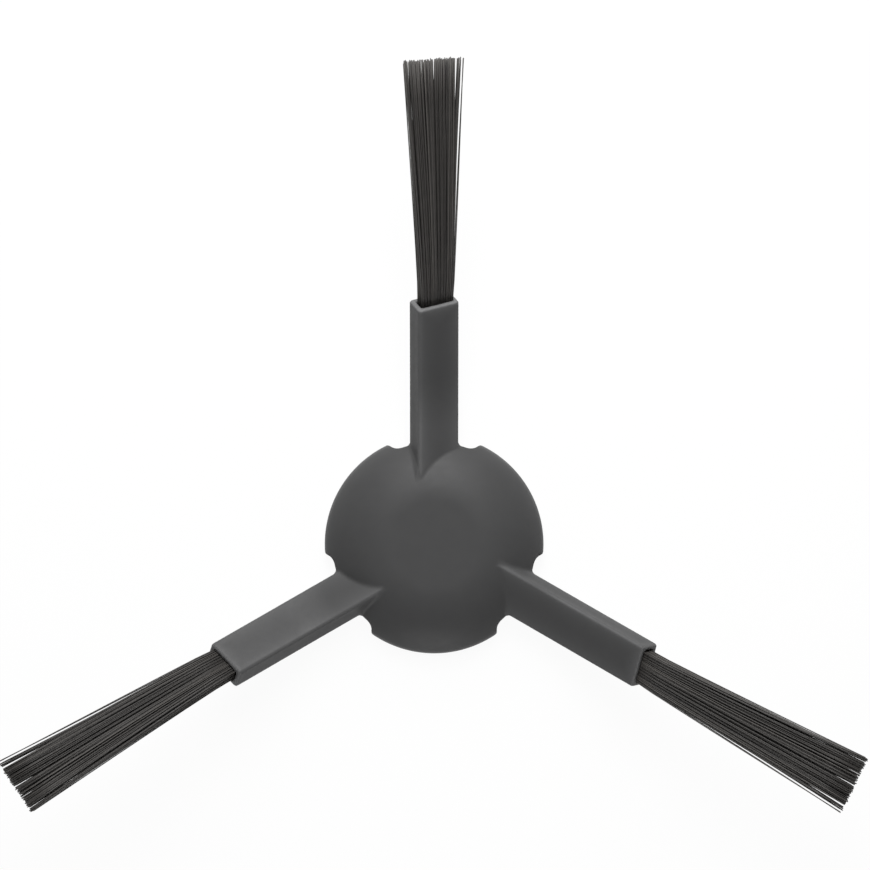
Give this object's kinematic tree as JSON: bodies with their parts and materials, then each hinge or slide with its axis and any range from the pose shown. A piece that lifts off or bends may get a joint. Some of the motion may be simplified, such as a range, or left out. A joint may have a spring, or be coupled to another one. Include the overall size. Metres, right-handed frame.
{
  "type": "robot vacuum side brush",
  "caption": "Spinning side brush for a robot vacuum: a domed push-on hub with soft arms that bend up into sleeves, each holding a fanned tuft of stiff filaments.",
  "frame": {"origin": "on the turning axis, in the plane of the hub's rim, at the mouth of the drive socket", "axes": "+Z along the turning axis out of the dome's crown, +Y along the first arm, +X to the right when the crown faces the viewer and the first arm points up"},
  "size_m": [0.1465, 0.1281, 0.0348],
  "materials": {
    "body_rubber": "satin moulded soft rubber, dark grey",
    "core_plastic": "fine matt moulded hard plastic, charcoal",
    "bristle_nylon": "extruded nylon filament, charcoal with a slight sheen"
  },
  "bodies": {
    "root": {"hub_body": "body_rubber", "drive_core": "core_plastic", "bristle_tuft_1": "bristle_nylon", "bristle_tuft_2": "bristle_nylon", "bristle_tuft_3": "bristle_nylon"}
  },
  "joints": []
}
